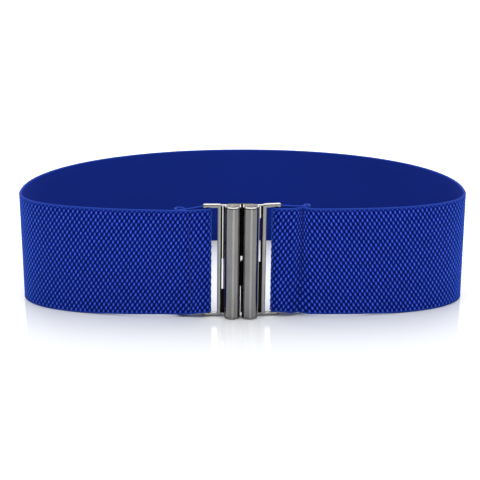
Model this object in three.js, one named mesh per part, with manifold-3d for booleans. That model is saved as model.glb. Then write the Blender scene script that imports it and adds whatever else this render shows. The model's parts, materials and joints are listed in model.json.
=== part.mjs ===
// Elastic stretch belt: one wide woven elastic band, its two ends folded round the frames of a
// two-piece gunmetal clasp and sewn down. Millimetres, +Z up. The belt stands on its own edge with
// the clasp at the front (-Y). The origin is at the bottom, in the middle of the whole belt.

import * as THREE from 'three';
import { mergeVertices } from 'three/addons/utils/BufferGeometryUtils.js';
import Module from 'manifold-3d';

// Elastic band
const BAND_WIDTH = 60;
const BAND_THICKNESS = 1.5;
const BAND_SQUEEZE = 1.7; // how much narrower the band is where it passes through a frame

// Waist loop seen from above, measured to the band's outer face from its widest line
const WAIST_HALF_WIDTH = 124.2;
const WAIST_REAR_DEPTH = 94.1;
const WAIST_FRONT_DEPTH = 44.9;
const WAIST_REAR_ROUNDNESS = 2.05; // superellipse exponents, 2 is a plain ellipse
const WAIST_FRONT_ROUNDNESS = 2.89;

// Clasp columns
const COLUMN_WIDTH = 8.55;
const COLUMN_DEPTH = 8.4;
const COLUMN_GAP = 0.9; // between the two columns
const COLUMN_BEVEL_INSET = 0.8;
const COLUMN_BEVEL_HEIGHT = 1.2;
const CLASP_STAND_OUT = 4.3; // how far the columns stand in front of the waist loop
const CLASP_OFFSET = -0.6; // the clasp's middle from the waist's middle
const CLASP_LEAN = 0.8; // sideways, from the bottom edge to the top

// Clasp frames that hold the band
const FRAME_BAR = 2;
const FRAME_WINDOW_WIDTH = 5.8;
const FRAME_SETBACK = 0.7; // frame's rear face from the columns' rear face
const FRAME_CORNER = 0.9;
const WEB_WIDTH = 1.9; // from the column to the frame
const WEB_ROOT = 1.2; // how deep the web is rooted in the column
const WEB_EDGE_INSET = 0.5;
const WEB_WINDOW_WIDTH = 0.9;

// Hook tabs behind the columns
const TAB_THICKNESS = 1.4;
const BOSS_WIDTH = 5;
const LIP_WIDTH = 2.2;
const LIP_DEPTH = 2.2;
const POCKET_CLEARANCE = 0.6;

const FIT_GAP = 0.3; // clearance between pieces that bear on each other

// Sewn ends of the band
const BAR_CLEARANCE = 0.5; // in front of the frame's outer bar, inside the fold
const FOLD_SLACK = 3; // behind that bar, inside the fold
const FOLD_SHIFT = 0.4; // the fold's middle, out from the bar's middle
const PLY_GAP = 0.2;
const SEAM_WIDTH = 1.2;
const SEAM_EDGE_INSET = 0.5;
const DIP_SPREAD = 6; // how far a seam's dip reaches along the band
const REJOIN_REACH = 26; // from the fold to where the band follows the waist again
const LIFT_REACH = 66; // from a seam to where the band lies on its edge again

// What differs between the two halves. side is the direction from the clasp's middle, turn the
// frame's angle back from the columns, seam its distance out from the frame's outer bar, slant how
// far the seam leans from the bottom edge to the top, dip how far it pulls the band in. lowerLift
// and upperLift raise the band's edges at the seam. The tab, its lip and the open window in the web
// are spans of the clasp's height, in shares of it.
const HALVES = [
  {
    name: 'buckle_half_left', side: -1, turn: 0, seam: 8.2, slant: -0.8, dip: 0.5,
    lowerLift: 1.3, upperLift: -0.1, hemLength: 5.9, hemRise: 3.4, hemOpening: 4.9,
    tab: { from: 0.53, to: 0.99 }, lip: { from: 0.53, to: 0.866 },
    window: { from: 0.24, to: 0.52 },
  },
  {
    name: 'buckle_half_right', side: 1, turn: 9, seam: 11.2, slant: 1.8, dip: 2.6,
    lowerLift: 1.3, upperLift: 0.6, hemLength: 3.6, hemRise: 3.8, hemOpening: 4.3,
    tab: { from: 0.26, to: 0.476 }, lip: { from: 0.26, to: 0.476 },
    window: { from: 0.485, to: 0.875 },
  },
];

// Fineness of the faceted curves
const REAR_SEGMENTS = 60;
const SIDE_SEGMENTS = 20;
const END_SUBDIVISIONS = 4;
const FOLD_SEGMENTS = 8;
const FRONT_PLY_STEPS = 14;
const ROUND_SEGMENTS = 20;
const CORNER_SEGMENTS = 4;
const GROOVE_SEGMENTS = 8;

const MATERIALS = {
  elastic: { color: 0x1b2d86, roughness: 0.85, metalness: 0 },
  gunmetal: { color: 0x8d8c8a, roughness: 0.22, metalness: 1 },
};

// Sizes that follow from the ones above
const claspHeight = BAND_WIDTH - BAND_SQUEEZE + 2 * FIT_GAP + 2 * FRAME_BAR;
const columnFront = -WAIST_FRONT_DEPTH - CLASP_STAND_OUT;
const columnBack = columnFront + COLUMN_DEPTH;
const columnMiddle = (COLUMN_GAP + COLUMN_WIDTH) / 2;
const columnOuter = COLUMN_GAP / 2 + COLUMN_WIDTH;
const frameBack = columnBack - FRAME_SETBACK;
const frameFront = frameBack - FRAME_BAR;
const frameInner = columnOuter + WEB_WIDTH;
const frameOuter = frameInner + 2 * FRAME_BAR + FRAME_WINDOW_WIDTH;
const foldCentre = frameOuter - FRAME_BAR / 2 + FOLD_SHIFT;
const frontPly = frameFront - BAR_CLEARANCE - BAND_THICKNESS / 2;
const backPly = frameBack + FOLD_SLACK + BAND_THICKNESS / 2;
const foldRadius = (backPly - frontPly) / 2;
const plyPitch = BAND_THICKNESS + PLY_GAP;

const wasm = await Module();
wasm.setup();

function solidFrom(geometry) {
  const bare = geometry.index ? geometry.toNonIndexed() : geometry.clone();
  bare.deleteAttribute('normal');
  bare.deleteAttribute('uv');
  const welded = mergeVertices(bare, 1e-5);
  return new wasm.Manifold(new wasm.Mesh({
    numProp: 3,
    vertProperties: new Float32Array(welded.attributes.position.array),
    triVerts: new Uint32Array(welded.index.array),
  }));
}

function geometryFrom(solid) {
  const mesh = solid.getMesh();
  const geometry = new THREE.BufferGeometry();
  geometry.setAttribute('position', new THREE.BufferAttribute(mesh.vertProperties, 3));
  geometry.setIndex(new THREE.BufferAttribute(mesh.triVerts, 1));
  geometry.computeVertexNormals();
  return geometry;
}

function movePoints(geometry, move) {
  const position = geometry.attributes.position;
  const point = new THREE.Vector3();
  for (let i = 0; i < position.count; i += 1) {
    point.fromBufferAttribute(position, i);
    move(point);
    position.setXYZ(i, point.x, point.y, point.z);
  }
  return geometry;
}

function smoothstep(value, low, high) {
  return THREE.MathUtils.smoothstep(value, Math.min(low, high), Math.max(low, high));
}

// A box between two distances out from the clasp's middle, on the half's own side
function boxOn(side, out, y, z) {
  const size = [out, y, z].map(([from, to]) => to - from);
  const middle = [out, y, z].map(([from, to]) => (from + to) / 2);
  const geometry = new THREE.BoxGeometry(...size);
  return geometry.translate(side * middle[0], middle[1], middle[2]);
}

function extrudeUp(outline, from, to) {
  const geometry = new THREE.ExtrudeGeometry(outline, { depth: to - from, bevelEnabled: false });
  return geometry.translate(0, 0, from);
}

// The clasp leans a little sideways as a whole: higher points move further over
function lean(point) {
  point.x += CLASP_OFFSET + CLASP_LEAN * (point.z / claspHeight - 0.5);
}

// Turns a point of a frame back about the line where its web leaves the column
function turnFrame(half, x, y) {
  const pivot = new THREE.Vector2(half.side * columnOuter, frameBack);
  const angle = half.side * THREE.MathUtils.degToRad(half.turn);
  return new THREE.Vector2(x, y).rotateAround(pivot, angle);
}

// A column: round in front, flat behind, its top and bottom rims bevelled
function columnGeometry(side) {
  const radius = COLUMN_WIDTH / 2;
  const roundStart = columnFront + radius;
  const middle = side * columnMiddle;
  const outline = new THREE.Shape();
  outline.moveTo(middle + radius, columnBack);
  outline.lineTo(middle - radius, columnBack);
  outline.lineTo(middle - radius, roundStart);
  outline.absarc(middle, roundStart, radius, Math.PI, 2 * Math.PI, false);
  outline.closePath();
  const geometry = new THREE.ExtrudeGeometry(outline, {
    depth: claspHeight - 2 * COLUMN_BEVEL_HEIGHT,
    bevelThickness: COLUMN_BEVEL_HEIGHT,
    bevelSize: COLUMN_BEVEL_INSET,
    bevelOffset: -COLUMN_BEVEL_INSET,
    bevelSegments: 1,
    curveSegments: ROUND_SEGMENTS,
  });
  return geometry.translate(0, 0, COLUMN_BEVEL_HEIGHT);
}

function roundedRectangle(left, right, bottom, top, corner) {
  const outline = new THREE.Shape();
  outline.moveTo(left + corner, bottom);
  outline.lineTo(right - corner, bottom);
  outline.absarc(right - corner, bottom + corner, corner, -Math.PI / 2, 0, false);
  outline.lineTo(right, top - corner);
  outline.absarc(right - corner, top - corner, corner, 0, Math.PI / 2, false);
  outline.lineTo(left + corner, top);
  outline.absarc(left + corner, top - corner, corner, Math.PI / 2, Math.PI, false);
  outline.lineTo(left, bottom + corner);
  outline.absarc(left + corner, bottom + corner, corner, Math.PI, 1.5 * Math.PI, false);
  return outline;
}

// The rectangular frame of square bars that the band's end is folded round
function frameGeometry(half) {
  const edges = [half.side * frameInner, half.side * frameOuter];
  const left = Math.min(...edges);
  const right = Math.max(...edges);
  const outline = roundedRectangle(left, right, 0, claspHeight, FRAME_CORNER);
  const opening = new THREE.Path();
  opening.moveTo(left + FRAME_BAR, FRAME_BAR);
  opening.lineTo(left + FRAME_BAR, claspHeight - FRAME_BAR);
  opening.lineTo(right - FRAME_BAR, claspHeight - FRAME_BAR);
  opening.lineTo(right - FRAME_BAR, FRAME_BAR);
  opening.closePath();
  outline.holes.push(opening);
  const geometry = new THREE.ExtrudeGeometry(outline, {
    depth: FRAME_BAR, bevelEnabled: false, curveSegments: CORNER_SEGMENTS,
  });
  return geometry.rotateX(Math.PI / 2).translate(0, frameBack, 0);
}

// The web joins column and frame, with a half-round groove down its front
function webGeometry(half) {
  const place = (out, y) => new THREE.Vector2(half.side * out, y);
  const grooveMiddle = columnOuter + WEB_WIDTH / 2;
  const groove = [];
  for (let i = 0; i <= GROOVE_SEGMENTS; i += 1) {
    const angle = (Math.PI * i) / GROOVE_SEGMENTS;
    const out = grooveMiddle + (WEB_WIDTH / 2) * Math.cos(angle);
    groove.push(place(out, frameFront + (WEB_WIDTH / 2) * Math.sin(angle)));
  }
  const outline = new THREE.Shape([
    place(columnOuter - WEB_ROOT, frameBack),
    place(frameInner + FRAME_BAR / 2, frameBack),
    place(frameInner + FRAME_BAR / 2, frameFront),
    ...groove,
    place(columnOuter - WEB_ROOT, frameFront),
  ]);
  return extrudeUp(outline, WEB_EDGE_INSET, claspHeight - WEB_EDGE_INSET);
}

// The slot through the bottom of the web's groove
function webWindowGeometry(half) {
  const middle = columnOuter + WEB_WIDTH / 2;
  const out = [middle - WEB_WINDOW_WIDTH / 2, middle + WEB_WINDOW_WIDTH / 2];
  const z = [half.window.from * claspHeight, half.window.to * claspHeight];
  return boxOn(half.side, out, [frameFront - FIT_GAP, frameBack + FIT_GAP], z);
}

// A hook tab leaves a boss on its own column's back, passes behind the other column and turns
// forward in a lip that stands in that column's pocket
function hookGeometries(half) {
  const tabBack = columnBack + FIT_GAP + TAB_THICKNESS;
  const z = [half.tab.from * claspHeight, half.tab.to * claspHeight];
  const lipZ = [half.lip.from * claspHeight, half.lip.to * claspHeight];
  const bossInner = columnMiddle - BOSS_WIDTH / 2;
  const lipOut = columnMiddle + LIP_WIDTH / 2;
  const boss = boxOn(half.side, [bossInner, bossInner + BOSS_WIDTH], [columnBack - FIT_GAP, tabBack], z);
  const tab = boxOn(half.side, [-lipOut, bossInner + FIT_GAP], [columnBack + FIT_GAP, tabBack], z);
  const lip = boxOn(
    half.side, [-lipOut, LIP_WIDTH - lipOut], [columnBack - LIP_DEPTH, tabBack], lipZ,
  );
  return [boss, tab, lip];
}

// The pocket in this half's column that takes the other half's lip
function pocketGeometry(half, other) {
  const reach = LIP_WIDTH / 2 + POCKET_CLEARANCE;
  const out = [columnMiddle - reach, columnMiddle + reach];
  const y = [columnBack - LIP_DEPTH - POCKET_CLEARANCE, columnBack + FIT_GAP];
  const z = [
    other.lip.from * claspHeight - POCKET_CLEARANCE,
    other.lip.to * claspHeight + POCKET_CLEARANCE,
  ];
  return boxOn(half.side, out, y, z);
}

function buckleHalf(half, other) {
  const turned = (geometry) => solidFrom(movePoints(geometry, (point) => {
    const place = turnFrame(half, point.x, point.y);
    point.x = place.x;
    point.y = place.y;
  }));
  let solid = solidFrom(columnGeometry(half.side))
    .subtract(solidFrom(pocketGeometry(half, other)))
    .add(turned(frameGeometry(half)))
    .add(turned(webGeometry(half)))
    .subtract(turned(webWindowGeometry(half)));
  for (const geometry of hookGeometries(half)) {
    solid = solid.add(solidFrom(geometry));
  }
  return movePoints(geometryFrom(solid), lean);
}

// A point of the waist loop at the middle of the band's wall. The angle runs from 0 at +X
// through the rear (PI / 2) to PI at -X and on through the front.
function waistPoint(angle) {
  const rear = Math.sin(angle) >= 0;
  const roundness = rear ? WAIST_REAR_ROUNDNESS : WAIST_FRONT_ROUNDNESS;
  const depth = (rear ? WAIST_REAR_DEPTH : WAIST_FRONT_DEPTH) - BAND_THICKNESS / 2;
  const across = Math.abs(Math.cos(angle)) ** (2 / roundness) * Math.sign(Math.cos(angle));
  const along = Math.abs(Math.sin(angle)) ** (2 / roundness) * Math.sign(Math.sin(angle));
  return new THREE.Vector2(across * (WAIST_HALF_WIDTH - BAND_THICKNESS / 2), along * depth);
}

// The waist loop's front at a distance x from its middle
function waistFront(x) {
  const share = Math.abs(x) / (WAIST_HALF_WIDTH - BAND_THICKNESS / 2);
  const depth = WAIST_FRONT_DEPTH - BAND_THICKNESS / 2;
  return -depth * (1 - share ** WAIST_FRONT_ROUNDNESS) ** (1 / WAIST_FRONT_ROUNDNESS);
}

function seamX(half) {
  return half.side * (frameOuter + half.seam) + CLASP_OFFSET;
}

// A point of a half's fold, turned with its frame
function foldPoint(half, out, y) {
  const place = turnFrame(half, half.side * out, y);
  return new THREE.Vector2(place.x + CLASP_OFFSET, place.y);
}

// Front ply between the fold and the waist loop, pulled back by the seam's dip
function frontPlyPoint(half, x) {
  const atFold = foldPoint(half, foldCentre, frontPly);
  const rejoin = atFold.x + half.side * REJOIN_REACH;
  const blend = smoothstep(Math.abs(x), Math.abs(atFold.x), Math.abs(rejoin));
  const dip = half.dip * (1 - smoothstep(Math.abs(x - seamX(half)), 0, DIP_SPREAD));
  return new THREE.Vector2(x, THREE.MathUtils.lerp(atFold.y, waistFront(x), blend) + dip);
}

// The band's middle line at one end, from its turned-under raw end to where it rejoins the waist
// loop: the hem loop, the back ply, the fold round the frame's bar and the front ply
function endPath(half) {
  const seam = frontPlyPoint(half, seamX(half));
  const raw = new THREE.Vector2(seam.x, seam.y + plyPitch);
  const back = new THREE.Vector2(seam.x, seam.y + 2 * plyPitch);
  // places along the hem loop, in shares of its length, rise and opening
  const hem = [
    { along: 0.45, rise: 1, opening: 1 },
    { along: 0.8, rise: 1, opening: 0.97 },
    { along: 1, rise: 1, opening: 0.5 },
    { along: 0.8, rise: 1, opening: 0.06 },
    { along: 0.4, rise: 0.75, opening: 0 },
  ].map((row) => new THREE.Vector2(
    back.x + half.side * row.along * half.hemLength,
    back.y + row.rise * half.hemRise - row.opening * half.hemOpening,
  ));
  const foldMiddle = (frontPly + backPly) / 2;
  const fold = [];
  for (let i = 0; i <= FOLD_SEGMENTS; i += 1) {
    const angle = Math.PI * (0.5 + i / FOLD_SEGMENTS);
    const out = foldCentre + foldRadius * Math.cos(angle);
    fold.push(foldPoint(half, out, foldMiddle + foldRadius * Math.sin(angle)));
  }
  const front = [];
  for (let i = 1; i <= FRONT_PLY_STEPS; i += 1) {
    const reach = (REJOIN_REACH * i) / FRONT_PLY_STEPS;
    front.push(frontPlyPoint(half, fold[FOLD_SEGMENTS].x + half.side * reach));
  }
  return [raw, ...hem, back, ...fold, ...front];
}

// Smooth curve through the points of one end, finely stepped
function smoothPath(points) {
  const curve = new THREE.CatmullRomCurve3(
    points.map((point) => new THREE.Vector3(point.x, point.y, 0)), false, 'centripetal',
  );
  return curve.getPoints((points.length - 1) * END_SUBDIVISIONS)
    .map((point) => new THREE.Vector2(point.x, point.y));
}

// The whole middle line of the band, from the left raw end round the waist to the right one
function bandPath() {
  const [left, right] = HALVES.map((half) => smoothPath(endPath(half)));
  const rejoinAngle = (end) => {
    const share = Math.abs(end.at(-1).x) / (WAIST_HALF_WIDTH - BAND_THICKNESS / 2);
    return Math.acos(share ** (WAIST_FRONT_ROUNDNESS / 2));
  };
  const arc = (from, to, segments) => Array.from(
    { length: segments - 1 }, (_, i) => waistPoint(from + ((to - from) * (i + 1)) / segments),
  );
  return [
    ...left,
    ...arc(Math.PI + rejoinAngle(left), Math.PI, SIDE_SEGMENTS),
    waistPoint(Math.PI),
    ...arc(Math.PI, 0, REAR_SEGMENTS),
    waistPoint(0),
    ...arc(0, -rejoinAngle(right), SIDE_SEGMENTS),
    ...right.reverse(),
  ];
}

// Closed outline of a wall of the band's thickness along the path
function wallOutline(path) {
  const sides = [1, -1].map((sign) => path.map((point, i) => {
    const before = path[Math.max(i - 1, 0)];
    const after = path[Math.min(i + 1, path.length - 1)];
    const across = new THREE.Vector2().subVectors(after, before).normalize();
    const offset = (sign * BAND_THICKNESS) / 2;
    return new THREE.Vector2(point.x - across.y * offset, point.y + across.x * offset);
  }));
  return new THREE.Shape([...sides[0], ...sides[1].reverse()]);
}

// The thread line that holds front ply, raw end and back ply together
function seamGeometry(half) {
  const seam = frontPlyPoint(half, seamX(half));
  const outline = new THREE.Shape([
    new THREE.Vector2(seam.x - SEAM_WIDTH / 2, seam.y),
    new THREE.Vector2(seam.x + SEAM_WIDTH / 2, seam.y),
    new THREE.Vector2(seam.x + SEAM_WIDTH / 2, seam.y + 2 * plyPitch),
    new THREE.Vector2(seam.x - SEAM_WIDTH / 2, seam.y + 2 * plyPitch),
  ]);
  return extrudeUp(outline, SEAM_EDGE_INSET, BAND_WIDTH - SEAM_EDGE_INSET);
}

// Near the clasp the band is squeezed between a frame's arms, lifted off its edge and slanted with
// the clasp and the seam. Each change runs from the fold to the seam and dies out beyond it.
function dressEnd(point) {
  if (point.y > waistFront(0) / 2) {
    return;
  }
  const half = HALVES[point.x > CLASP_OFFSET ? 1 : 0];
  const out = Math.abs(point.x - CLASP_OFFSET);
  const seamOut = frameOuter + half.seam;
  const toSeam = smoothstep(out, frameOuter + FIT_GAP, seamOut);
  const toRest = smoothstep(out, seamOut, seamOut + LIFT_REACH);
  const along = (atFold, atSeam) => (
    THREE.MathUtils.lerp(THREE.MathUtils.lerp(atFold, atSeam, toSeam), 0, toRest)
  );
  const height = point.z / BAND_WIDTH;
  const foldInset = FRAME_BAR + FIT_GAP;
  const lower = along(foldInset, half.lowerLift);
  const upper = along(claspHeight - foldInset - BAND_WIDTH, half.upperLift);
  point.z += THREE.MathUtils.lerp(lower, upper, height);
  point.x += along(CLASP_LEAN, half.slant) * (point.z / claspHeight - 0.5);
}

function elasticBand() {
  const wall = extrudeUp(wallOutline(bandPath()), 0, BAND_WIDTH);
  let solid = solidFrom(movePoints(wall, dressEnd));
  for (const half of HALVES) {
    solid = solid.add(solidFrom(movePoints(seamGeometry(half), dressEnd)));
  }
  return geometryFrom(solid);
}

function named(name, geometry, finish) {
  const mesh = new THREE.Mesh(geometry, new THREE.MeshStandardMaterial(finish));
  mesh.name = name;
  return mesh;
}

const group = new THREE.Group();
group.add(named('elastic_band', elasticBand(), MATERIALS.elastic));
HALVES.forEach((half, i) => {
  group.add(named(half.name, buckleHalf(half, HALVES[1 - i]), MATERIALS.gunmetal));
});

// Brings the middle of the belt's footprint to the origin
const extent = new THREE.Box3().setFromObject(group);
const middle = extent.getCenter(new THREE.Vector3());
group.position.set(-middle.x, -middle.y, -extent.min.z);

export default group;
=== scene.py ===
"""The looks of an elastic stretch belt: a wide woven elastic band whose two ends are folded round
the frames of a two-piece gunmetal clasp and sewn down.

Lengths are millimetres and meshes are metres. Plan coordinates have y = 0 on the loop's widest
line, and they move to the row frame as the last step.
"""

import json
import math
from types import SimpleNamespace

import bmesh
import bpy
import numpy as np
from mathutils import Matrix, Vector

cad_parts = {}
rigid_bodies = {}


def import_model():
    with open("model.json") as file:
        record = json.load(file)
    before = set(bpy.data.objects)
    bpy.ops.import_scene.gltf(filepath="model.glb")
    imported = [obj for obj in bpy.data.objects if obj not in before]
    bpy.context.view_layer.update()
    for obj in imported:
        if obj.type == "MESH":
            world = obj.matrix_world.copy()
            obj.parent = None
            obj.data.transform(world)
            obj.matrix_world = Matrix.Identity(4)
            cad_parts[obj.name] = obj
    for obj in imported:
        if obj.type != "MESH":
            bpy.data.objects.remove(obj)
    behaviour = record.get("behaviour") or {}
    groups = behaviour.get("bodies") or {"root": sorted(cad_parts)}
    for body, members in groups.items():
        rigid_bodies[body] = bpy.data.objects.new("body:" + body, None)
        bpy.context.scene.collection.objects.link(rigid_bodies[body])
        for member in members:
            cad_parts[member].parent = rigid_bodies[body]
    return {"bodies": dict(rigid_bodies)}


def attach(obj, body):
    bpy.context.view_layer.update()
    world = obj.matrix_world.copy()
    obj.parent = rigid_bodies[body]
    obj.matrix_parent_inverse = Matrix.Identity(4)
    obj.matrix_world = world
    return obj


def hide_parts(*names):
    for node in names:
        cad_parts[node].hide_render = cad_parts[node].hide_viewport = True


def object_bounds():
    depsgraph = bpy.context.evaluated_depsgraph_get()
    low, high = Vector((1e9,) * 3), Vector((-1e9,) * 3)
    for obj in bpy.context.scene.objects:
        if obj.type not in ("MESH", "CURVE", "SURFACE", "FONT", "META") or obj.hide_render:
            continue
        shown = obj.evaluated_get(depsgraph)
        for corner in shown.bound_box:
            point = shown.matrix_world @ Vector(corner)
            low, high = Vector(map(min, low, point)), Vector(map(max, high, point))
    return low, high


MM = 0.001
TAU = 2 * math.pi

# Elastic band
BAND_WIDTH = 60
BAND_THICKNESS = 1.5
BAND_SQUEEZE = 1.7  # how much narrower the band is where it passes through a frame

# Waist loop seen from above, measured to the band's outer face from its widest line
WAIST_HALF_WIDTH = 124.2
WAIST_REAR_DEPTH = 94.1
WAIST_FRONT_DEPTH = 44.9
WAIST_REAR_ROUNDNESS = 2.05
WAIST_FRONT_ROUNDNESS = 2.89

# Clasp
COLUMN_WIDTH = 8.55
COLUMN_DEPTH = 8.4
COLUMN_GAP = 0.9
CLASP_STAND_OUT = 4.3  # in front of the band's outer face
CLASP_OFFSET = -0.6  # sideways from the loop's middle
CLASP_LEAN = 0.8  # sideways from the clasp's foot to its top
FRAME_BAR = 2
FRAME_WINDOW_WIDTH = 5.8
FRAME_SETBACK = 0.7  # from the columns' backs to the frames' backs
WEB_WIDTH = 1.9
WEB_ROOT = 1.2  # how deep the web is rooted in the column
WEB_EDGE_INSET = 0.5
WEB_WINDOW_WIDTH = 0.9
TAB_THICKNESS = 1.4
BOSS_WIDTH = 5
LIP_WIDTH = 2.2
LIP_DEPTH = 2.2
POCKET_CLEARANCE = 0.6
FIT_GAP = 0.3

# Finer forms of the clasp
FOOT_STEPS = [  # height above a column's foot and how far its outline is drawn in there
    (0.0, 0.82), (0.06, 0.52), (0.2, 0.26), (0.42, 0.08), (0.75, 0.0), (0.98, 0.0),
    (1.0, 0.5), (1.25, 0.5), (1.27, 0.0), (2.4, 0.0),
]
TOP_STEPS = [  # the same from a column's top down, which is faintly domed inside its rim
    (0.0, 2.2), (0.1, 1.7), (0.24, 1.15), (0.42, 0.6), (0.47, 0.38), (0.58, 0.2), (0.76, 0.07),
    (1.02, 0.0), (1.14, 0.0), (1.16, 0.5), (1.4, 0.5), (1.42, 0.0), (2.4, 0.0),
]
CAST_REACH = 0.4  # how near a column's end a level face has to be to show the casting
CAST_TILT = 0.9  # the least upright part of such a face's unit normal
STRIP_WIDTH = 0.5  # rib on the bottom of the web's groove, which carries a painted highlight
STRIP_HEIGHT = 0.15
GROOVE_DEPTH = 1.3
GROOVE_TAPER = 0.1  # how much the groove's walls draw in from front to bottom
NOTCH_DEPTH = 1.85  # where the groove runs out below its slot
STOP_WIDTH = 0.64  # how far a stop in the lower half of the gap between the columns narrows it
STOP_DEPTH = 1.5
BACK_CORNER = 0.6
FRAME_CORNER = 0.9
FRAME_INNER_CORNER = 0.35
FRAME_ROUND = 0.5
FINE_EDGE = 0.05  # the smallest corner, and the step between faces that would else coincide
EDGE_ROUND = 0.1
SHARP_ANGLE = 38  # degrees
HIGHLIGHT_TILT = 0.3  # the least upright part of the unit normal of a face that gets a painted highlight
FRONT_STEPS = 48
CORNER_STEPS = 4
SLOT_STEPS = 8
ROUND_STEPS = 2

# Sewn ends
BAR_CLEARANCE = 0.5
FOLD_SLACK = 3
FOLD_SHIFT = 0.4
PLY_GAP = 0.2
DIP_SPREAD = 6
REJOIN_REACH = 26
LIFT_REACH = 66
FRONT_PLY_STEPS = 14
FOLD_SEGMENTS = 8
HEM_PLACES = [  # shares of the hem loop's length, rise and opening, from the raw end on
    (0.45, 1, 1), (0.8, 1, 0.97), (1, 1, 0.5), (0.8, 1, 0.06), (0.4, 0.75, 0),
]
CURVE_STEPS = 16
SIDE_STEPS = 300
REAR_STEPS = 900
HALVES = [  # turn and lean in degrees; tab, lip and window as shares of the clasp's height
    SimpleNamespace(
        name="left", side=-1, turn=0, seam=8.2, slant=-0.8, dip=0.5, lower_lift=1.3,
        upper_lift=-0.1, hem_length=5.9, hem_rise=3.4, hem_opening=4.9,
        tab=(0.53, 0.99), lip=(0.53, 0.866), window=(0.24, 0.52), strip_shift=0.14,
        groove_reach=0.3, stitch_shift=1.3, seam_groove=0.25, lean_at_seam=-4,
    ),
    SimpleNamespace(
        name="right", side=1, turn=9, seam=11.2, slant=1.8, dip=2.6, lower_lift=1.3,
        upper_lift=0.6, hem_length=3.6, hem_rise=3.8, hem_opening=4.3,
        tab=(0.26, 0.476), lip=(0.26, 0.476), window=(0.485, 0.875), strip_shift=-0.3,
        groove_reach=0.05, stitch_shift=0, seam_groove=0.9, lean_at_seam=-3,
    ),
]

# Weave of the band's outer face
FLOAT_PITCH = 2.6  # along the band
FLOAT_ROW = 2  # from one row of floats to the next, which is shifted by half a pitch
FIRST_ROW = 1.6  # from the band's edge to the middle of the outermost row
WEAVE_DEPTH = 0.5  # from the floats' crests to the bottom of the pits
FLOAT_STRETCH = 0.14  # how much taller than wide a float is
STATIONS_PER_FLOAT = 4
EDGE_STEPS = [  # from the outer face round an edge: depth from the edge, share of half the wall
    (0.95, 0.5), (0.75, 0.9), (0.45, 1.0), (0.16, 0.82), (0.0, 0.38), (0.0, -0.38),
    (0.16, -0.86), (0.6, -1.0),
]
INNER_ROWS = 6
LEAN_LEFT = -6  # degrees, how the columns of floats lean
LEAN_RIGHT = 6
LEAN_TURN = (0.3, 0.7)  # shares of the band's length between which the lean turns over
LEAN_BLEND = 6  # on each side of a seam
LEAN_FADE = 12  # from a raw end
FLOAT_SLANT = 1.1  # how strongly the floats themselves slant where their columns lean

# Seam
STITCH_LENGTH = 2.7
STITCH_STEPS = 12
STITCH_FULLNESS = 0.5  # power of a sine: under 1, a stitch rises steeply and runs flat
THREAD_WIDTH = 0.36
THREAD_SINK = 0.75  # share of a stitch's height that lies below the face
THREAD_SIDES = 8
SEAM_GROOVE_WIDTH = 0.75

# Colours, as places on a ramp with linear red, green and blue
# The woven ramp is painted shade in the pits and painted highlight on the floats' crests
WOVEN_COLORS = [
    (0.0, (0.0001, 0.0008, 0.066)), (0.42, (0.0008, 0.0056, 0.154)),
    (0.68, (0.0105, 0.036, 0.415)), (1.0, (0.11, 0.178, 0.86)),
]
SELVEDGE_COLORS = [(0.0, (0.006, 0.024, 0.24)), (1.0, (0.02, 0.062, 0.42))]
INNER_COLORS = [(0.0, (0.0062, 0.021, 0.212)), (1.0, (0.0097, 0.0292, 0.265))]
THREAD_COLORS = [(0.0, (0.004, 0.012, 0.14)), (1.0, (0.02, 0.048, 0.34))]
GUNMETAL_COLORS = [(0.3, (0.196, 0.191, 0.191)), (0.7, (0.235, 0.229, 0.226))]
# Painted shade: near-black for the clasp's recesses and hidden parts
PAINTED_SHADE_COLORS = [(0.3, (0.003, 0.003, 0.004)), (0.7, (0.008, 0.008, 0.009))]
# Painted highlight on the metal's upper and lower faces and on the groove's rib
PAINTED_HIGHLIGHT_COLORS = [(0.3, (0.38, 0.38, 0.37)), (0.7, (0.5, 0.5, 0.485))]
CAST_COLORS = [(0.4, (0.02, 0.017, 0.018)), (0.5, (0.085, 0.072, 0.075)), (0.62, (0.34, 0.3, 0.305))]
FLOOR_COLORS = [(0.0, (0.862, 0.882, 0.882)), (1.0, (0.887, 0.9, 0.9))]
GRAIN_STRETCH = (9, 9, 0.35)  # makes the metal's grain fine across and long up the clasp

# Places in the band's and in the clasp's list of materials
WOVEN, PLAIN, INNER = range(3)
# The second and third places of the clasp hold painted shade and a painted highlight
POLISHED, PAINTED_SHADE, PAINTED_HIGHLIGHT, CAST = range(4)

# Studio: lengths in metres, radiance in watts for each square metre and steradian
FLOOR_HALF_SIDE = 6
FLOOR_DROP = 0.0001  # keeps the floor clear of the faces that stand on it
WORLD_STRENGTH = 0.32
LIGHTS = [
    SimpleNamespace(
        name="overhead", place=(0, 0.4, 1.3), aim=(0, 0.4, 0), size=(1.5, 2.0), radiance=2.9,
    ),
    SimpleNamespace(
        name="left_side", place=(-1.3, -0.45, 0.9), aim=(0, 0, 0.03), size=(0.9, 0.9), radiance=1.6,
    ),
    SimpleNamespace(
        name="right_side", place=(1.3, -0.45, 0.9), aim=(0, 0, 0.03), size=(0.9, 0.9), radiance=1.6,
    ),
    SimpleNamespace(
        name="rear", place=(0, 3.2, 0.9), aim=(0, 0, 0.9), size=(6, 1.7), radiance=1.6,
    ),
    SimpleNamespace(
        name="front_strip", place=(0.3, -1.7, 0.5), aim=(0, 0, 0.03), size=(0.9, 0.35), radiance=3.2,
    ),
]

# Camera, fitted to the photo: pixels, the sensor in millimetres and the elevation in degrees
PHOTO_SIDE = 480
SENSOR = 36
FOCAL_PIXELS = 1232.98
PRINCIPAL_POINT = (242.49, 239.15)
CAMERA_ELEVATION = 17.55
CAMERA_DISTANCE = 700
CAMERA_AIM_HEIGHT = 30

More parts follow.
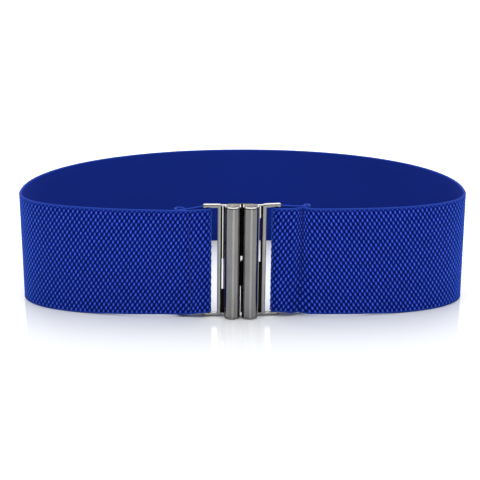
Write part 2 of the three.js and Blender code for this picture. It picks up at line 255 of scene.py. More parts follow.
CLASP_HEIGHT = BAND_WIDTH - BAND_SQUEEZE + 2 * FIT_GAP + 2 * FRAME_BAR
COLUMN_FRONT = -WAIST_FRONT_DEPTH - CLASP_STAND_OUT
COLUMN_BACK = COLUMN_FRONT + COLUMN_DEPTH
COLUMN_MIDDLE = (COLUMN_GAP + COLUMN_WIDTH) / 2
COLUMN_OUTER = COLUMN_GAP / 2 + COLUMN_WIDTH
FRAME_BACK = COLUMN_BACK - FRAME_SETBACK
FRAME_FRONT = FRAME_BACK - FRAME_BAR
FRAME_INNER = COLUMN_OUTER + WEB_WIDTH
FRAME_OUTER = FRAME_INNER + 2 * FRAME_BAR + FRAME_WINDOW_WIDTH
FOLD_CENTRE = FRAME_OUTER - FRAME_BAR / 2 + FOLD_SHIFT
FRONT_PLY = FRAME_FRONT - BAR_CLEARANCE - BAND_THICKNESS / 2
BACK_PLY = FRAME_BACK + FOLD_SLACK + BAND_THICKNESS / 2
FOLD_RADIUS = (BACK_PLY - FRONT_PLY) / 2
PLY_PITCH = BAND_THICKNESS + PLY_GAP

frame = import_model()
cad_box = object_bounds()
plan_to_row = cad_box[1].y / MM - WAIST_REAR_DEPTH


def smoothstep(value, low, high):
    share = np.clip((value - low) / (high - low), 0, 1)
    return share * share * (3 - 2 * share)


def mix(a, b, share):
    return a + (b - a) * share


def turn_frame(half, x, y):
    """Points turned back with a half's frame about the line where its web leaves the column."""
    angle = half.side * math.radians(half.turn)
    dx = x - half.side * COLUMN_OUTER
    dy = y - FRAME_BACK
    return (
        half.side * COLUMN_OUTER + dx * math.cos(angle) - dy * math.sin(angle),
        FRAME_BACK + dx * math.sin(angle) + dy * math.cos(angle),
    )


def waist_points(angles):
    """The loop at the middle of the wall. Angle 0 is at +X and pi / 2 at the rear."""
    rear = np.sin(angles) >= 0
    power = 2 / np.where(rear, WAIST_REAR_ROUNDNESS, WAIST_FRONT_ROUNDNESS)
    depth = np.where(rear, WAIST_REAR_DEPTH, WAIST_FRONT_DEPTH) - BAND_THICKNESS / 2
    across = np.abs(np.cos(angles)) ** power * np.sign(np.cos(angles))
    along = np.abs(np.sin(angles)) ** power * np.sign(np.sin(angles))
    return np.column_stack([across * (WAIST_HALF_WIDTH - BAND_THICKNESS / 2), along * depth])


def waist_front(x):
    share = abs(x) / (WAIST_HALF_WIDTH - BAND_THICKNESS / 2)
    depth = WAIST_FRONT_DEPTH - BAND_THICKNESS / 2
    return -depth * (1 - share**WAIST_FRONT_ROUNDNESS) ** (1 / WAIST_FRONT_ROUNDNESS)


def seam_x(half):
    return half.side * (FRAME_OUTER + half.seam) + CLASP_OFFSET


def stitch_x(half):
    return seam_x(half) - half.side * half.stitch_shift


def fold_point(half, out, y):
    x, y = turn_frame(half, half.side * out, y)
    return np.array([x + CLASP_OFFSET, y])


def front_ply_point(half, x):
    """The front ply between the fold and the waist loop, pulled back by the seam's dip."""
    at_fold = fold_point(half, FOLD_CENTRE, FRONT_PLY)
    rejoin = at_fold[0] + half.side * REJOIN_REACH
    blend = smoothstep(abs(x), abs(at_fold[0]), abs(rejoin))
    dip = half.dip * (1 - smoothstep(abs(x - seam_x(half)), 0, DIP_SPREAD))
    return np.array([x, mix(at_fold[1], waist_front(x), blend) + dip])


def end_points(half):
    """The band's middle line at one end: raw end, hem loop, back ply, fold and front ply."""
    seam = front_ply_point(half, seam_x(half))
    raw = seam + [0, PLY_PITCH]
    back = seam + [0, 2 * PLY_PITCH]
    hem = [
        back + [
            half.side * along * half.hem_length,
            rise * half.hem_rise - opening * half.hem_opening,
        ]
        for along, rise, opening in HEM_PLACES
    ]
    fold_middle = (FRONT_PLY + BACK_PLY) / 2
    fold = [
        fold_point(
            half,
            FOLD_CENTRE + FOLD_RADIUS * math.cos(angle),
            fold_middle + FOLD_RADIUS * math.sin(angle),
        )
        for angle in math.pi * (0.5 + np.arange(FOLD_SEGMENTS + 1) / FOLD_SEGMENTS)
    ]
    front = [
        front_ply_point(half, fold[-1][0] + half.side * REJOIN_REACH * i / FRONT_PLY_STEPS)
        for i in range(1, FRONT_PLY_STEPS + 1)
    ]
    return np.array([raw, *hem, back, *fold, *front])


def smooth_curve(points, steps):
    """Centripetal Catmull-Rom curve through the points, with that many steps a span."""
    padded = np.vstack([2 * points[0] - points[1], points, 2 * points[-1] - points[-2]])
    share = np.arange(steps)[:, None] / steps
    spans = []
    for p0, p1, p2, p3 in zip(padded, padded[1:], padded[2:], padded[3:]):
        d0, d1, d2 = (np.sum((b - a) ** 2) ** 0.25 for a, b in ((p0, p1), (p1, p2), (p2, p3)))
        t1 = ((p1 - p0) / d0 - (p2 - p0) / (d0 + d1) + (p2 - p1) / d1) * d1
        t2 = ((p2 - p1) / d1 - (p3 - p1) / (d1 + d2) + (p3 - p2) / d2) * d1
        spans.append(
            p1 + t1 * share + (3 * (p2 - p1) - 2 * t1 - t2) * share**2
            + (2 * (p1 - p2) + t1 + t2) * share**3
        )
    return np.vstack([*spans, points[-1:]])


def band_path():
    """The whole middle line, finely stepped, from the left raw end to the right one, with the
    distance along it."""
    left, right = (smooth_curve(end_points(half), CURVE_STEPS) for half in HALVES)

    def rejoin_angle(end):
        share = abs(end[-1][0]) / (WAIST_HALF_WIDTH - BAND_THICKNESS / 2)
        return math.acos(share ** (WAIST_FRONT_ROUNDNESS / 2))

    angles = np.concatenate([
        np.linspace(math.pi + rejoin_angle(left), math.pi, SIDE_STEPS)[1:-1],
        np.linspace(math.pi, 0, REAR_STEPS),
        np.linspace(0, -rejoin_angle(right), SIDE_STEPS)[1:-1],
    ])
    path = np.vstack([left, waist_points(angles), right[::-1]])
    length = np.concatenate([[0], np.cumsum(np.linalg.norm(np.diff(path, axis=0), axis=1))])
    return path, length


def dress_end(points):
    """Near the clasp the band is squeezed between a frame's arms, lifted off its edge and
    slanted with the clasp and the seam, as in the frame's own band."""
    x, y, z = points[..., 0], points[..., 1], points[..., 2]
    side = x > CLASP_OFFSET
    out = np.abs(x - CLASP_OFFSET)

    def pick(value):
        return np.where(side, getattr(HALVES[1], value), getattr(HALVES[0], value))

    seam_out = FRAME_OUTER + pick("seam")
    to_seam = smoothstep(out, FRAME_OUTER + FIT_GAP, seam_out)
    to_rest = smoothstep(out, seam_out, seam_out + LIFT_REACH)

    def along(at_fold, at_seam):
        return mix(mix(at_fold, at_seam, to_seam), 0, to_rest)

    inset = FRAME_BAR + FIT_GAP
    lower = along(inset, pick("lower_lift"))
    upper = along(CLASP_HEIGHT - inset - BAND_WIDTH, pick("upper_lift"))
    lifted = z + mix(lower, upper, z / BAND_WIDTH)
    shifted = x + along(CLASP_LEAN, pick("slant")) * (lifted / CLASP_HEIGHT - 0.5)
    near = y <= waist_front(0) / 2
    return np.stack([np.where(near, shifted, x), y, np.where(near, lifted, z)], axis=-1)


def lean(points):
    """The clasp leans a little sideways as a whole."""
    moved = np.array(points, float)
    moved[..., 0] += CLASP_OFFSET + CLASP_LEAN * (moved[..., 2] / CLASP_HEIGHT - 0.5)
    return moved


def to_row(points):
    return (np.asarray(points, float) + [0, plan_to_row, 0]) * MM


# Shaders


class Shader:
    """A node material under construction."""

    def __init__(self, name):
        self.material = bpy.data.materials.new(name)
        self.material.use_nodes = True
        self.tree = self.material.node_tree
        self.surface = self.tree.nodes["Principled BSDF"]

    def put(self, socket, value):
        if isinstance(value, bpy.types.NodeSocket):
            self.tree.links.new(value, socket)
        else:
            socket.default_value = value

    def add(self, kind, inputs=None, **settings):
        node = self.tree.nodes.new(kind)
        for key, value in settings.items():
            setattr(node, key, value)
        for socket, value in (inputs or {}).items():
            self.put(node.inputs[socket], value)
        return node

    def math(self, operation, *values):
        node = self.add("ShaderNodeMath", operation=operation)
        for socket, value in zip(node.inputs, values):
            self.put(socket, value)
        return node.outputs[0]

    def wave(self, value, turns=1, shift=0):
        """A cosine of a value in turns, moved up by a share of a turn."""
        return self.math("COSINE", self.math("MULTIPLY_ADD", value, TAU * turns, -TAU * shift))

    def ramp(self, value, stops):
        node = self.add("ShaderNodeValToRGB", {"Fac": value})
        elements = node.color_ramp.elements
        while len(elements) < len(stops):
            elements.new(0.5)
        for element, (place, color) in zip(elements, stops):
            element.position = place
            element.color = (*color, 1)
        return node.outputs["Color"]

    def spread(self, value, source, target):
        """A value taken from one range to another."""
        node = self.add("ShaderNodeMapRange", {
            "Value": value, "From Min": source[0], "From Max": source[1],
            "To Min": target[0], "To Max": target[1],
        })
        return node.outputs["Result"]

    def noise(self, vector, scale, detail=2, roughness=0.5):
        node = self.add("ShaderNodeTexNoise", {
            "Vector": vector, "Scale": scale, "Detail": detail, "Roughness": roughness,
        })
        return node.outputs["Fac"]

    def vector(self, x, y):
        node = self.add("ShaderNodeCombineXYZ", {"X": x, "Y": y})
        return node.outputs["Vector"]

    def place(self, stretch=(1, 1, 1)):
        """Places on the object in metres, each axis times its stretch."""
        coordinates = self.add("ShaderNodeTexCoord").outputs["Object"]
        scaled = self.add(
            "ShaderNodeVectorMath", {0: coordinates, 1: stretch}, operation="MULTIPLY",
        )
        return scaled.outputs["Vector"]

    def weave_places(self):
        """Along the band in float pitches, and up it in double float rows."""
        uv = self.add("ShaderNodeUVMap", uv_map="weave").outputs["UV"]
        split = self.add("ShaderNodeSeparateXYZ", {"Vector": uv})
        return split.outputs["X"], split.outputs["Y"]

    def brightness(self, color, value):
        node = self.add("ShaderNodeHueSaturation", {"Color": color, "Value": value})
        return node.outputs["Color"]

    def finish(self, color, roughness, height=None, bump=0, **constants):
        """The material with these on its surface. The bump is in metres."""
        self.put(self.surface.inputs["Base Color"], color)
        self.put(self.surface.inputs["Roughness"], roughness)
        if height is not None:
            node = self.add("ShaderNodeBump", {"Height": height, "Distance": bump, "Strength": 1})
            self.put(self.surface.inputs["Normal"], node.outputs["Normal"])
        for name, value in constants.items():
            self.surface.inputs[name.replace("_", " ")].default_value = value
        return self.material


def woven_face():
    """Floats of doubled thread standing out of the ground, its pits in painted shade and the floats'
    crests and lobes in painted highlights, each float in its own tone.
    """
    lobe_depth, fibre_depth, fibre_fineness = 0.14, 0.5, 14
    shader = Shader("woven_face")
    u, v = shader.weave_places()
    across = shader.wave(u)
    up = shader.wave(v)
    checker = shader.math("MULTIPLY", across, up)
    squares = shader.math(
        "SUBTRACT", shader.math("MULTIPLY", across, across), shader.math("MULTIPLY", up, up),
    )
    sines = shader.math("MULTIPLY", shader.wave(u, shift=0.25), shader.wave(v, shift=0.25))
    slant = shader.add("ShaderNodeAttribute", attribute_name="slant").outputs["Fac"]
    slanted = shader.math("MULTIPLY_ADD", sines, slant, checker)
    relief = shader.math("MULTIPLY_ADD", squares, FLOAT_STRETCH, slanted)
    crest = shader.math("MAXIMUM", checker, 0)
    lobes = shader.math("MULTIPLY", shader.wave(v, turns=4), crest)
    lobed = shader.math("MULTIPLY_ADD", lobes, -lobe_depth, relief)
    fibre_place = shader.vector(shader.math("MULTIPLY", u, fibre_fineness), v)
    fibres = shader.math("SUBTRACT", shader.noise(fibre_place, scale=5, detail=3), 0.5)
    height = shader.math("MULTIPLY_ADD", fibres, fibre_depth, lobed)
    # The ramp by height paints shade into the pits and highlights onto the crests and their two lobes
    color = shader.ramp(shader.spread(height, (-1, 1), (0, 1)), WOVEN_COLORS)
    cell = shader.vector(
        shader.math("ROUND", shader.math("ADD", u, v)),
        shader.math("ROUND", shader.math("SUBTRACT", u, v)),
    )
    scatter = shader.add("ShaderNodeTexWhiteNoise", {"Vector": cell}).outputs["Value"]
    drift = shader.noise(shader.place(), scale=22)
    value = shader.math(
        "ADD", shader.spread(scatter, (0, 1), (0.86, 1.1)),
        shader.spread(drift, (0, 1), (-0.08, 0.08)),
    )
    return shader.finish(
        shader.brightness(color, value), shader.spread(height, (-1, 1), (0.85, 0.55)), height,
        bump=0.00012, Sheen_Weight=0.65, Sheen_Roughness=0.5, Sheen_Tint=(0.035, 0.2, 1, 1),
        Specular_IOR_Level=0.025,
    )


def selvedge():
    """The plain firm edge, its threads running across it in fine close turns."""
    turn_depth, fibre_fineness = 0.25, 6
    shader = Shader("selvedge")
    u, v = shader.weave_places()
    fibre_place = shader.vector(shader.math("MULTIPLY", u, fibre_fineness), v)
    fibres = shader.noise(fibre_place, scale=6, detail=3)
    height = shader.math("MULTIPLY_ADD", shader.wave(u, turns=5), turn_depth, fibres)
    # Darker in the grooves between the turns: painted shade, with random fibre tone
    color = shader.ramp(shader.spread(height, (0.1, 0.9), (0, 1)), SELVEDGE_COLORS)
    return shader.finish(
        color, shader.spread(fibres, (0, 1), (0.8, 0.55)), height, bump=0.0001,
        Sheen_Weight=0.03, Sheen_Tint=(0.1, 0.3, 1, 1), Specular_IOR_Level=0.03,
    )


def inner_face():
    """The smooth close-woven back, with fine ribs along the band and slanting ticks on them."""
    rib_depth, tick_depth = 0.3, 0.2
    ticks_along, ticks_up = 3, 2.5
    fibres_along, fibres_up = 3, 9
    shader = Shader("inner_face")
    u, v = shader.weave_places()
    ribs = shader.wave(v, turns=5)
    ticks = shader.wave(
        shader.math("MULTIPLY_ADD", v, ticks_up, shader.math("MULTIPLY", u, ticks_along)),
    )
    fibre_place = shader.vector(
        shader.math("MULTIPLY", u, fibres_along), shader.math("MULTIPLY", v, fibres_up),
    )
    fibres = shader.noise(fibre_place, scale=3)
    ticked = shader.math("MULTIPLY_ADD", ticks, tick_depth, fibres)
    height = shader.math("MULTIPLY_ADD", ribs, rib_depth, ticked)
    drift = shader.noise(shader.place(), scale=16)
    # Darker between the ribs and ticks: painted shade; the fibres and the drift are random tone
    color = shader.ramp(shader.spread(height, (0, 1), (0, 1)), INNER_COLORS)
    return shader.finish(
        shader.brightness(color, shader.spread(drift, (0.2, 0.8), (0.94, 1.06))),
        shader.spread(fibres, (0, 1), (0.9, 0.7)), height, bump=0.00005,
        Sheen_Weight=0.01, Sheen_Tint=(0.35, 0.45, 1, 1), Specular_IOR_Level=0.04,
    )


def painted_shade_metal():
    """Near-black painted shade for the clasp's groove, slot, notch and pocket and for its hidden tab,
    lip and stop.
    """
    shader = Shader("painted_shade_metal")
    grain = shader.noise(shader.place(), scale=900, detail=4)
    return shader.finish(
        shader.ramp(grain, PAINTED_SHADE_COLORS), shader.spread(grain, (0.3, 0.7), (0.4, 0.6)), grain,
        bump=0.00001, Specular_IOR_Level=0.1,
    )


def gunmetal():
    """Polished dark plating with a faint drawn grain up the clasp and light handling marks."""
    shader = Shader("gunmetal")
    grain = shader.noise(shader.place(GRAIN_STRETCH), scale=260, detail=4)
    smudge = shader.noise(shader.place(), scale=90, detail=3)
    roughness = shader.math(
        "ADD", shader.spread(smudge, (0.3, 0.7), (0.04, 0.08)),
        shader.spread(grain, (0.3, 0.7), (0, 0.02)),
    )
    return shader.finish(
        shader.ramp(smudge, GUNMETAL_COLORS), roughness, grain, bump=0.000004, Metallic=1.0,
    )


def painted_highlight_plating():
    """Plating painted with a highlight on upper and lower faces and on the rib in the web's groove.
    """
    shader = Shader("painted_highlight_plating")
    grain = shader.noise(shader.place(GRAIN_STRETCH), scale=260, detail=4)
    return shader.finish(
        shader.ramp(grain, PAINTED_HIGHLIGHT_COLORS), shader.spread(grain, (0.3, 0.7), (0.06, 0.12)),
        Metallic=1.0,
    )


def cast_end():
    """The columns' ends, plated over a mottled casting with a faint pink cast."""
    shader = Shader("cast_end")
    mottle = shader.noise(shader.place(), scale=1300, detail=3, roughness=0.7)
    return shader.finish(
        shader.ramp(mottle, CAST_COLORS), shader.spread(mottle, (0.3, 0.7), (0.3, 0.45)), mottle,
        bump=0.00003, Metallic=1.0,
    )


def sewing_thread():
    """Twisted thread in the band's own blue, its twist slanting up and along the band."""
    twist_along, twist_up = 1.4, 2.4  # turns in a millimetre
    shader = Shader("sewing_thread")
    place = shader.add("ShaderNodeSeparateXYZ", {"Vector": shader.place((1 / MM, 1 / MM, 1 / MM))})
    turned_up = shader.math("MULTIPLY", place.outputs["Z"], twist_up)
    twist = shader.wave(
        shader.math("MULTIPLY_ADD", place.outputs["X"], twist_along, turned_up),
    )
    # Darker in the twist's grooves: painted shade
    color = shader.ramp(shader.spread(twist, (-1, 1), (0, 1)), THREAD_COLORS)
    return shader.finish(color, 0.6, twist, bump=0.00005, Specular_IOR_Level=0.3)


# Meshes


def mesh_object(name, points, faces, materials):
    mesh = bpy.data.meshes.new(name)
    mesh.from_pydata(np.asarray(points, float).tolist(), [], faces)
    mesh.validate()
    for material in materials:
        mesh.materials.append(material)
    mesh.polygons.foreach_set("use_smooth", np.ones(len(mesh.polygons), bool))
    piece = bpy.data.objects.new(name, mesh)
    bpy.context.scene.collection.objects.link(piece)
    return piece


def weave_relief(u, v, slant):
    """Height of the woven face in shares, from -1 in a pit to 1 on a float's crest."""
    across = np.cos(TAU * u)
    up = np.cos(TAU * v)
    sines = np.sin(TAU * u) * np.sin(TAU * v)
    return across * up + FLOAT_STRETCH * (across**2 - up**2) + slant * sines


def band_section():
    """Rows round the band's section, starting at the bottom of the woven face: height, share of
    half the wall, share of the relief, and the material of the strip up to the next row."""
    half_rows = round(2 * (BAND_WIDTH - 2 * FIRST_ROW) / FLOAT_ROW)
    woven_heights = [
        mix(FIRST_ROW, BAND_WIDTH - FIRST_ROW, i / half_rows) for i in range(half_rows + 1)
    ]
    inner_inset, inner_share = EDGE_STEPS[-1]
    inner_heights = [
        mix(BAND_WIDTH - inner_inset, inner_inset, i / INNER_ROWS) for i in range(INNER_ROWS)
    ]
    lowest_depth, lowest_share = EDGE_STEPS[0]
    rows = [
        *((height, 1, 1, WOVEN) for height in woven_heights),
        *((BAND_WIDTH - depth, share, 0, PLAIN) for depth, share in EDGE_STEPS[:-1]),
        *((height, inner_share, 0, INNER) for height in inner_heights),
        *((depth, share, 0, PLAIN) for depth, share in reversed(EDGE_STEPS[1:])),
        (lowest_depth, lowest_share, 0, WOVEN),
    ]
    columns = [np.array(column) for column in zip(*rows)]
    return SimpleNamespace(
        height=columns[0], share=columns[1], relief=columns[2], finish=columns[3],
        double_row=4 * (BAND_WIDTH - 2 * FIRST_ROW) / half_rows,
    )


def columns_lean(length, total, seams):
    """How far the columns of floats lean, as a slope, at a distance along the band."""
    fade = smoothstep(length, 0, LEAN_FADE) * smoothstep(total - length, 0, LEAN_FADE)
    turn_from, turn_to = (share * total for share in LEAN_TURN)
    degrees = mix(LEAN_LEFT, LEAN_RIGHT, smoothstep(length, turn_from, turn_to))
    left, right = (half.lean_at_seam for half in HALVES)
    for_left = smoothstep(length, seams[0] - LEAN_BLEND, seams[0] + LEAN_BLEND)
    for_right = smoothstep(length, seams[1] - LEAN_BLEND, seams[1] + LEAN_BLEND)
    degrees = mix(mix(left, degrees, for_left), right, for_right)
    return fade * np.tan(np.radians(degrees))


def seam_lengths(path, length):
    """The distances along the band where its front ply passes the two seams."""
    found = []
    for half in HALVES:
        target = front_ply_point(half, stitch_x(half))
        found.append(length[np.argmin(np.linalg.norm(path - target, axis=1))])
    return found


def band_surface(path, length, reach, relief, section, seams):
    """Points of the band: places along its middle line, moved out to each row of its section."""
    tangent = np.gradient(path, length, axis=0)
    x, y = (np.interp(reach, length, path[:, axis]) for axis in (0, 1))
    tx, ty = (np.interp(reach, length, tangent[:, axis]) for axis in (0, 1))
    norm = np.hypot(tx, ty)
    offset = section.share * BAND_THICKNESS / 2 - section.relief * WEAVE_DEPTH * (1 - relief) / 2
    for half, seam in zip(HALVES, seams):
        groove = half.seam_groove * np.exp(-(((reach - seam) / SEAM_GROOVE_WIDTH) ** 2))
        offset = offset - groove * (section.share > 0)
    return np.stack([
        x - ty / norm * offset, y + tx / norm * offset, np.broadcast_to(section.height, x.shape),
    ], axis=-1)


def grid_faces(stations, rows):
    """Quads between stations along a body and rows round it, and the body's two end faces."""
    i, k = np.meshgrid(np.arange(stations - 1), np.arange(rows), indexing="ij")
    after = (k + 1) % rows
    quads = np.stack([
        i * rows + k, i * rows + after, (i + 1) * rows + after, (i + 1) * rows + k,
    ], axis=-1).reshape(-1, 4)
    last = (stations - 1) * rows
    return [*quads.tolist(), list(range(rows))[::-1], list(range(last, last + rows))]


def mark_weave(mesh, u, v, slant):
    """Tells the shaders where in the weave each place lies and how much the floats slant there."""
    rows = len(v)
    corners = np.zeros(len(mesh.loops), np.int32)
    mesh.loops.foreach_get("vertex_index", corners)
    places = np.column_stack([u[corners // rows], v[corners % rows]])
    mesh.uv_layers.new(name="weave").data.foreach_set("uv", places.astype(np.float32).ravel())
    slants = mesh.attributes.new("slant", "FLOAT", "POINT")
    slants.data.foreach_set("value", np.repeat(slant, rows).astype(np.float32))


def woven_band():
    """The band, in stations along it, which lean with the columns of floats, and rows round it."""
    path, length = band_path()
    total = length[-1]
    floats = round(total / FLOAT_PITCH)
    section = band_section()
    u = np.arange(floats * STATIONS_PER_FLOAT + 1) / STATIONS_PER_FLOAT
    v = (section.height - FIRST_ROW) / section.double_row
    along = u * total / floats
    seams = seam_lengths(path, length)
    slope = columns_lean(along, total, seams)
    slant = slope * FLOAT_SLANT
    reach = along[:, None] + slope[:, None] * (section.height - BAND_WIDTH / 2)
    reach = np.clip(reach, 0, total)
    relief = weave_relief(u[:, None], v[None, :], slant[:, None])
    points = dress_end(band_surface(path, length, reach, relief, section, seams))
    piece = mesh_object(
        "woven_band", to_row(points).reshape(-1, 3), grid_faces(*reach.shape),
        [woven_face(), selvedge(), inner_face()],
    )
    finish = np.concatenate([np.tile(section.finish, len(u) - 1), [PLAIN, PLAIN]])
    piece.data.polygons.foreach_set("material_index", finish.astype(np.int32))
    mark_weave(piece.data, u, v, slant)
    return piece


def tube(line, radius):
    """Points and faces of a closed round tube along a line."""
    tangent = np.gradient(line, axis=0)
    tangent /= np.linalg.norm(tangent, axis=1)[:, None]
    first = np.cross(tangent, [1, 0, 0])
    first /= np.linalg.norm(first, axis=1)[:, None]
    second = np.cross(tangent, first)
    angles = TAU * np.arange(THREAD_SIDES) / THREAD_SIDES
    ring = first[:, None] * np.cos(angles)[:, None] + second[:, None] * np.sin(angles)[:, None]
    return loft(list(line[:, None] + radius * ring))


def loft(loops, ring=False):
    """Points and faces of a closed body through loops of equal length. A ring joins the last
    loop to the first, and else both ends are capped."""
    count, size = len(loops), len(loops[0])
    spans = count if ring else count - 1
    faces = [
        [i * size + j, i * size + (j + 1) % size,
         (i + 1) % count * size + (j + 1) % size, (i + 1) % count * size + j]
        for i in range(spans) for j in range(size)
    ]
    if not ring:
        faces.append(list(range(size))[::-1])
        faces.append([(count - 1) * size + j for j in range(size)])
    return np.vstack(loops), faces


def arc(centre, radius, start, end, steps):
    angles = np.radians(np.linspace(start, end, steps + 1))
    return np.column_stack([
        centre[0] + radius * np.cos(angles), centre[1] + radius * np.sin(angles),
    ])


def at_height(outline, z):
    return np.column_stack([outline, np.full(len(outline), z)])


def column(side):
    """A column: round in front, flat behind, with a rounded foot, a faintly domed top and a fine
    groove near each end."""
    middle = side * COLUMN_MIDDLE
    loops = []
    rows = FOOT_STEPS + [(CLASP_HEIGHT - depth, inset) for depth, inset in reversed(TOP_STEPS)]
    for z, inset in rows:
        radius = COLUMN_WIDTH / 2 - inset
        corner = max(BACK_CORNER - inset, FINE_EDGE)
        back = COLUMN_BACK - inset - corner
        reach = radius - corner
        loops.append(at_height(np.vstack([
            arc((middle, COLUMN_FRONT + COLUMN_WIDTH / 2), radius, 0, -180, FRONT_STEPS),
            arc((middle - reach, back), corner, 180, 90, CORNER_STEPS),
            arc((middle + reach, back), corner, 90, 0, CORNER_STEPS),
        ]), z))
    return loft(loops)


def frame_ring(half):
    """The rectangular frame of rounded bars that the band's end is folded round."""
    edges = sorted([half.side * FRAME_INNER, half.side * FRAME_OUTER])
    section = np.vstack([
        arc((FRAME_ROUND if low else FRAME_BAR - FRAME_ROUND, y), FRAME_ROUND, start, start + 90,
            CORNER_STEPS)
        for low, y, start in [
            (False, FRAME_BACK - FRAME_ROUND, 0), (True, FRAME_BACK - FRAME_ROUND, 90),
            (True, FRAME_FRONT + FRAME_ROUND, 180), (False, FRAME_FRONT + FRAME_ROUND, 270),
        ]
    ])
    loops = []
    for inset, y in section:
        corner = mix(FRAME_CORNER, FRAME_INNER_CORNER, inset / FRAME_BAR)
        left, right = edges[0] + inset + corner, edges[1] - inset - corner
        low, high = inset + corner, CLASP_HEIGHT - inset - corner
        outline = np.vstack([
            arc(centre, corner, start, start + 90, CORNER_STEPS)
            for centre, start in [
                ((right, high), 0), ((left, high), 90), ((left, low), 180), ((right, low), 270),
            ]
        ])
        x, turned_y = turn_frame(half, outline[:, 0], np.full(len(outline), y))
        loops.append(np.column_stack([x, turned_y, outline[:, 1]]))
    return loft(loops, ring=True)


def groove_middle(half):
    return COLUMN_OUTER + WEB_WIDTH / 2 + half.strip_shift


def turned_prism(half, outline, low, high):
    """An upright prism on an outline of places out from the clasp's middle, turned with the frame."""
    outline = np.array(outline, float)
    outline = np.column_stack(turn_frame(half, half.side * outline[:, 0], outline[:, 1]))
    return loft([at_height(outline, low), at_height(outline, high)])


def web(half):
    """The web that joins column and frame, without its groove and slot."""
    front = FRAME_FRONT + FINE_EDGE
    back = FRAME_BACK - FINE_EDGE
    return turned_prism(half, [
        (COLUMN_OUTER - WEB_ROOT, back),
        (FRAME_INNER + FRAME_BAR / 2, back),
        (FRAME_INNER + FRAME_BAR / 2, front),
        (COLUMN_OUTER - WEB_ROOT, front),
    ], WEB_EDGE_INSET, CLASP_HEIGHT - WEB_EDGE_INSET)


def web_groove(half):
    """What the deep groove down the web's front leaves out."""
    return turned_prism(half, [
        (COLUMN_OUTER - GROOVE_TAPER / 2, FRAME_FRONT - FIT_GAP),
        (FRAME_INNER + half.groove_reach, FRAME_FRONT - FIT_GAP),
        (FRAME_INNER + half.groove_reach - GROOVE_TAPER, FRAME_FRONT + GROOVE_DEPTH),
        (COLUMN_OUTER + GROOVE_TAPER / 2, FRAME_FRONT + GROOVE_DEPTH),
    ], FRAME_BAR, CLASP_HEIGHT - FRAME_BAR / 2)


def web_strip(half):
    """The rib on the groove's bottom, painted with a highlight, which ends at the lower end of the
    slot.
    """
    middle = groove_middle(half)
    top = FRAME_FRONT + GROOVE_DEPTH - STRIP_HEIGHT
    return turned_prism(half, [
        (middle - STRIP_WIDTH / 2, FRAME_FRONT + GROOVE_DEPTH + STRIP_HEIGHT),
        (middle + STRIP_WIDTH / 2, FRAME_FRONT + GROOVE_DEPTH + STRIP_HEIGHT),
        (middle + STRIP_WIDTH / 2, top),
        (middle - STRIP_WIDTH / 2, top),
    ], half.window[0] * CLASP_HEIGHT + WEB_WINDOW_WIDTH, CLASP_HEIGHT - 2 * WEB_EDGE_INSET)


def web_notch(half):
    """What the groove loses below its slot, where it narrows to a deep notch."""
    middle = groove_middle(half)
    return turned_prism(half, [
        (middle - STRIP_WIDTH / 2, FRAME_FRONT + GROOVE_DEPTH - FINE_EDGE),
        (middle + STRIP_WIDTH / 2, FRAME_FRONT + GROOVE_DEPTH - FINE_EDGE),
        (middle, FRAME_FRONT + NOTCH_DEPTH),
    ], -FIT_GAP, half.window[0] * CLASP_HEIGHT + WEB_WINDOW_WIDTH / 2)


def web_slot(half):
    """What the slot takes out of the bottom of the web's groove: a tall box with round ends."""
    middle = groove_middle(half)
    radius = WEB_WINDOW_WIDTH / 2
    low, high = (share * CLASP_HEIGHT for share in half.window)
    outline = np.vstack([
        arc((middle, high - radius), radius, 0, 180, SLOT_STEPS),
        arc((middle, low + radius), radius, 180, 360, SLOT_STEPS),
    ])
    loops = []
    for y in (FRAME_FRONT - FIT_GAP, FRAME_BACK + FIT_GAP):
        x, turned_y = turn_frame(half, half.side * outline[:, 0], np.full(len(outline), y))
        loops.append(np.column_stack([x, turned_y, outline[:, 1]]))
    return loft(loops)


def hook_tab(half):
    """A boss on the column's own back and the tab behind the other column."""
    back = COLUMN_BACK + FIT_GAP + TAB_THICKNESS
    boss_inner = COLUMN_MIDDLE - BOSS_WIDTH / 2
    lip_out = COLUMN_MIDDLE + LIP_WIDTH / 2
    outline = np.array([
        (-lip_out, COLUMN_BACK + FIT_GAP), (boss_inner, COLUMN_BACK + FIT_GAP),
        (boss_inner, COLUMN_BACK - FIT_GAP), (boss_inner + BOSS_WIDTH, COLUMN_BACK - FIT_GAP),
        (boss_inner + BOSS_WIDTH, back), (-lip_out, back),
    ]) * [half.side, 1]
    return loft([at_height(outline, share * CLASP_HEIGHT) for share in half.tab])


def hook_lip(half):
    """The end of the tab, turned forward into the other column's pocket."""
    lip_out = COLUMN_MIDDLE + LIP_WIDTH / 2
    back = COLUMN_BACK + FIT_GAP + TAB_THICKNESS / 2
    outline = np.array([
        (-lip_out, COLUMN_BACK - LIP_DEPTH), (LIP_WIDTH - lip_out, COLUMN_BACK - LIP_DEPTH),
        (LIP_WIDTH - lip_out, back), (-lip_out, back),
    ]) * [half.side, 1]
    return loft([at_height(outline, share * CLASP_HEIGHT) for share in half.lip])


def gap_stop(half):
    """A stop that narrows the lower half of the gap between the columns."""
    edges = [half.side * (COLUMN_GAP / 2 - STOP_WIDTH), half.side * (COLUMN_GAP / 2 + FIT_GAP)]
    front, back = COLUMN_BACK - BACK_CORNER - STOP_DEPTH, COLUMN_BACK - BACK_CORNER
    outline = np.array([(edges[0], front), (edges[1], front), (edges[1], back), (edges[0], back)])
    return loft([at_height(outline, FRAME_BAR), at_height(outline, CLASP_HEIGHT / 2)])


